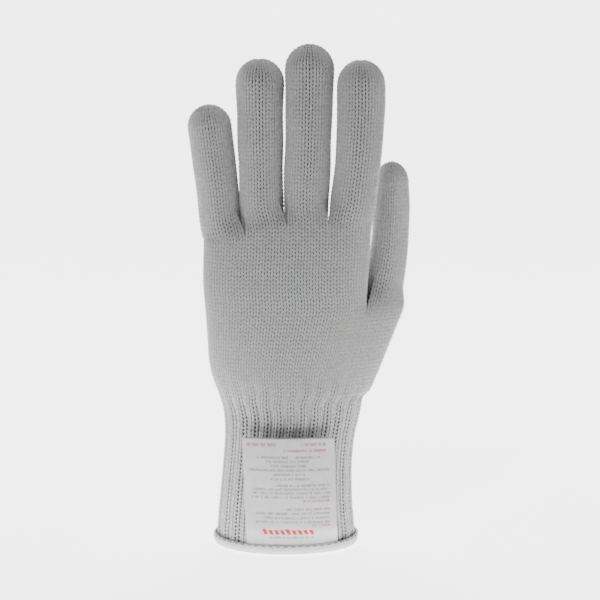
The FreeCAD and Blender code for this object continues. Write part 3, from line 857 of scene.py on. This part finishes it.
def stitch(middle, along, outwards, length, radius):
    """One stitch: a bit of thread that comes out of the cloth, lies on it and goes back in."""
    t = np.linspace(-1, 1, STITCH_RINGS)
    rise = radius * (1.1 - 2.6 * np.abs(t) ** 4)
    line = middle + along * (t * length / 2)[:, None] + outwards * rise[:, None]
    up = np.cross(along, outwards)
    a = 2 * math.pi * np.arange(THREAD_SIDES) / THREAD_SIDES
    ring = np.cos(a)[:, None] * up + np.sin(a)[:, None] * outwards
    thick = radius * np.where(np.abs(t) > 0.99, 0.15, 1.0)
    return (line[:, None] + ring[None] * thick[:, None, None]).reshape(-1, 3)


def hem_stitches(height, stitches, label_range):
    """The row of stitches near the binding's top edge; those over the label are its own."""
    z = height - STITCH_DROP
    points, outwards = round_cuff(z, stitches * 4)
    sets = {"hem_stitches": [], "label_stitches": []}
    for i in range(0, len(points), 4):
        x, y = points[i]
        over = y < 0 and label_range[0] < x < label_range[1]
        way = unit((points[(i + 1) % len(points)] - points[i - 1])[None])[0]
        place = np.array([*(points[i] + outwards[i] * STITCH_OUT), z])
        along, out = np.array([*way, 0.0]), np.array([*outwards[i], 0.0])
        row = sets["label_stitches" if over else "hem_stitches"]
        row.append(stitch(place, along, out, STITCH_LENGTH, THREAD_RADIUS))
    faces = ring_faces(STITCH_RINGS, THREAD_SIDES, closed=False)
    for (name, tubes), node in zip(sets.items(), ("hem_thread", "label_thread")):
        quads = [faces + k * STITCH_RINGS * THREAD_SIDES for k in range(len(tubes))]
        piece = make_mesh(name, np.vstack(tubes), np.vstack(quads), THREAD_LOOK)
        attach(piece, "cuff")
        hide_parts(node)


def elastic_yarns(rings):
    """Covered elastic laid round the inside of the rib knit."""
    low, high = box_mm("cuff_elastic")
    count, size = ELASTIC_POINTS, ELASTIC_RADIUS
    tubes, quads = [], []
    for k in range(rings):
        z = low[2] + size + k * (high[2] - low[2] - 2 * size) / (rings - 1)
        points, outwards = round_cuff(z, count)
        turn = np.arange(count) / count
        inset = -3.35 - 0.25 * np.cos(2 * math.pi * turn * HAND_WALES / RIB_WALES)
        flat = points + outwards * inset[:, None]
        wave = 0.35 * np.sin(2 * math.pi * turn * (HAND_WALES // 2) + k)
        line = np.column_stack([flat, z + wave])
        way = unit(np.roll(line, -1, axis=0) - np.roll(line, 1, axis=0))
        out = np.column_stack([outwards, np.zeros(count)])
        up = np.cross(way, out)
        a = 2 * math.pi * np.arange(THREAD_SIDES) / THREAD_SIDES
        ring = np.cos(a)[None, :, None] * up[:, None] + np.sin(a)[None, :, None] * out[:, None]
        tubes.append((line[:, None] + ring * size).reshape(-1, 3))
        quads.append(ring_faces(count, THREAD_SIDES) + k * count * THREAD_SIDES)
    piece = make_mesh("cuff_elastic_yarns", np.vstack(tubes), np.vstack(quads), ELASTIC_LOOK)
    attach(piece, "cuff")
    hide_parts("cuff_elastic")


# ---- label ---------------------------------------------------------------------------------
class Label:
    """The printed label's face: u across from its left edge and v up from the hem's top, in mm."""

    def __init__(self):
        low, high = box_mm("label_flap")
        self.width, self.fold = high[0] - low[0], low[2]
        self.middle = (low[0] + high[0]) / 2
        self.front, self.sag = low[1], high[1] - low[1] - 0.5
        self.foot = box_mm("label_tuck")[0][2]
        self.hem = box_mm("hem_binding")[1][2]
        self.height = high[2] - self.foot
        points, _ = round_cuff(self.fold, 720)
        back = points[points[:, 1] < 0]
        back = back[np.argsort(back[:, 0])]
        self.cuff_face = (back[:, 0], back[:, 1])

    def at(self, u, v):
        """Points of the outer face."""
        side = 2 * u / self.width - 1
        z = self.hem + v
        rise = (z - self.foot) / self.height
        x = self.middle + u - self.width / 2 - LABEL_LEAN * (v - LABEL_LEAN_FROM)
        bow = 0.35 * np.sin(2.6 * side + 1.0) * np.sin(math.pi * rise) * rise
        near_side, near_top = np.clip((side - 0.55) / 0.45, 0, 1), np.clip((rise - 0.72) / 0.28, 0, 1)
        corner_curl = 1.5 * near_side ** 2 * near_top ** 2
        wave = 0.25 * np.sin(7 * rise + 2 * side)
        y = self.front + self.sag * side**2 + bow - corner_curl + wave
        tucked = np.interp(x, *self.cuff_face) - LABEL_TUCKED
        hold = smoothstep(z, self.fold - 0.6, self.fold + 9.0)
        return np.stack([x, tucked * (1 - hold) + y * hold, z], axis=-1)

    def grid(self, us, vs, lift=0.0):
        """A grid of points, lifted off the face by the same amount all over."""
        uu, vv = np.meshgrid(us, vs)
        points = self.at(uu, vv)
        du = self.at(uu + 0.05, vv) - points
        dv = self.at(uu, vv + 0.05) - points
        normal = np.cross(du, dv)
        normal /= np.linalg.norm(normal, axis=-1)[..., None]
        return points + normal * lift


def sheet_mesh(name, front, back, material):
    """A closed thin sheet between two grids of points."""
    rows, columns = front.shape[:2]
    points = np.vstack([front.reshape(-1, 3), back.reshape(-1, 3)])
    i, j = np.meshgrid(np.arange(rows - 1), np.arange(columns - 1), indexing="ij")
    a = (i * columns + j).reshape(-1)
    face = np.stack([a, a + 1, a + columns + 1, a + columns], 1)
    index = np.arange(rows * columns).reshape(rows, columns)
    edge = np.concatenate([index[0], index[1:, -1], index[-1, -2::-1], index[-2:0:-1, 0]])
    nxt, half = np.roll(edge, -1), rows * columns
    rim = np.stack([edge, edge + half, nxt + half, nxt], 1)
    return make_mesh(name, points, np.vstack([face, face[:, ::-1] + half, rim]), material)


def word_marks(rows):
    """Each run as small upright strokes of uneven width with gaps, like a line of print."""
    marks = []
    for foot, height, runs in rows:
        for start, end in runs:
            u = start
            while u < end:
                width = RNG.uniform(*STROKE_WIDTHS)
                low, tall = foot + RNG.uniform(0, 0.15), height * RNG.uniform(0.82, 1.0)
                marks.append((u, min(u + width, end), low, tall))
                u += width + (RNG.uniform(*STROKE_GAPS) if RNG.random() < WORD_GOES_ON else WORD_GAP)
    return marks


def printed(label, name, marks, material, slant=0.0):
    """A layer of ink on the label: one small plate for each mark."""
    points, quads = [], []
    corner, edge = np.array([0, 1, 3, 4]), np.array([0, 1, 2, 5, 8, 7, 6, 3])
    face = np.stack([corner, corner + 1, corner + 4, corner + 3], 1)
    nxt = np.roll(edge, -1)
    plate = np.vstack([face, face[:, ::-1] + 9, np.stack([edge, edge + 9, nxt + 9, nxt], 1)])
    outwards = np.array([0, -1.0, 0])
    for number, (start, end, foot, height) in enumerate(marks):
        us, vs = np.linspace(start, end, 3), np.linspace(foot, foot + height, 3)
        uu, vv = np.meshgrid(us, vs)
        uu = uu + slant * (vv - foot)
        top = label.at(uu, vv)
        front, back = top + outwards * INK_RISE, top - outwards * INK_SINK
        points += [front.reshape(-1, 3), back.reshape(-1, 3)]
        quads.append(plate + number * 18)
    piece = make_mesh(name, np.vstack(points), np.vstack(quads), material, smooth=False)
    return piece


def bold_bars():
    """The bars of the generic mark at the label's foot."""
    foot, height, start, end, bars = MARK_ROW
    step = (end - start) / bars
    return [(start + i * step, start + (i + BAR_SHARE) * step, foot,
             height * (1.0 if i in TALL_BARS else SHORT_BAR)) for i in range(bars)]


def make_label():
    """The printed label, sewn in at its foot and free above it."""
    label = Label()
    tuck = label.foot - label.hem
    us, vs = np.linspace(0, label.width, 57), np.linspace(tuck, tuck + label.height, 71)
    front, back = label.grid(us, vs), label.grid(us, vs, -LABEL_THICK)
    piece = sheet_mesh("printed_label", front, back, LABEL_LOOK)
    folds = bends()
    folds(piece)
    inks = [
        printed(label, "label_small_print", word_marks(GREY_ROWS), GREY_INK),
        printed(label, "label_red_print", word_marks(RED_ROWS), RED_INK),
        printed(label, "label_bold_mark", bold_bars(), BOLD_INK, slant=MARK_SLANT),
    ]
    for ink in inks:
        folds(ink)
    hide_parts("label_flap", "label_tuck")
    return label


# ---- staging -------------------------------------------------------------------------------
def area_light(name, place, target, size, power):
    """A round soft light aimed at the target."""
    data = bpy.data.lights.new(name, "AREA")
    data.shape, data.size, data.energy = "DISK", size, power
    lamp = bpy.data.objects.new(name, data)
    lamp.location = place
    lamp.rotation_euler = (Vector(target) - Vector(place)).to_track_quat("-Z", "Y").to_euler()
    bpy.context.scene.collection.objects.link(lamp)


def stage():
    """The floor, which curves up behind the glove; its glow lights the knit's edges."""
    material, tree, shader = new_material("studio_white", 0.9)
    colour = ramp(tree, noise(tree, 6, 2), (0.90, 0.90, 0.90), (0.93, 0.93, 0.93))
    tree.links.new(colour, shader.inputs["Base Color"])
    shader.inputs["Emission Color"].default_value = (1, 1, 1, 1)
    shader.inputs["Emission Strength"].default_value = SWEEP_GLOW
    arc = [(SWEEP_FRONT, 0.0), (SWEEP_BACK, 0.0)]
    arc += [(SWEEP_BACK + SWEEP_BEND * math.sin(a), SWEEP_BEND - SWEEP_BEND * math.cos(a))
            for a in np.linspace(0.1, math.pi / 2, 12)]
    arc.append((SWEEP_BACK + SWEEP_BEND, SWEEP_HEIGHT))
    points = [(x / MM, y / MM, z / MM - SWEEP_DROP) for y, z in arc for x in (-SWEEP_REACH, SWEEP_REACH)]
    quads = [(2 * i, 2 * i + 1, 2 * i + 3, 2 * i + 2) for i in range(len(arc) - 1)]
    floor = make_mesh("studio_sweep", np.array(points), np.array(quads), material)


def camera():
    """In front of the back of the hand, a little above it."""
    data = bpy.data.cameras.new("camera")
    data.lens, data.sensor_width = CAMERA_LENS, CAMERA_SENSOR
    cam = bpy.data.objects.new("camera", data)
    target = Vector(CAMERA_TARGET)
    way = Vector((0, -math.cos(CAMERA_ELEVATION), math.sin(CAMERA_ELEVATION)))
    place = target + way * CAMERA_DISTANCE
    cam.location = place
    cam.rotation_euler = (target - place).to_track_quat("-Z", "Y").to_euler()
    bpy.context.scene.collection.objects.link(cam)
    bpy.context.scene.camera = cam


def lights():
    """One key light over the left shoulder, and a faint even light all round."""
    area_light("key", KEY_PLACE, KEY_TARGET, KEY_SIZE, KEY_POWER)
    world = bpy.data.worlds.new("studio")
    world.use_nodes = True
    background = world.node_tree.nodes["Background"]
    background.inputs["Color"].default_value = (1, 1, 1, 1)
    background.inputs["Strength"].default_value = ROOM_LIGHT
    bpy.context.scene.world = world


# ---- the glove -----------------------------------------------------------------------------
knit_hand()
knit_palm()
for number, digit in enumerate(DIGITS):
    chain = [JOINTS[f"{digit}_{j}"] for j in ("knuckle", "middle_joint", "tip_joint")]
    knit_digit(digit, finger_grid(number, digit), FINGER_WALES, chain)
thumb_chain = [JOINTS[f"thumb_{j}"] for j in ("root_joint", "knuckle", "tip_joint")]
knit_digit("thumb", thumb_grid(), THUMB_WALES, thumb_chain)
hem_height = box_mm("hem_binding")[1][2]
hem_binding(hem_height, HEM_STITCHES)
label = make_label()
label_range = (label.middle - label.width / 2, label.middle + label.width / 2)
hem_stitches(hem_height, HEM_STITCHES, label_range)
elastic_yarns(ELASTIC_RINGS)
stage()
camera()
lights()
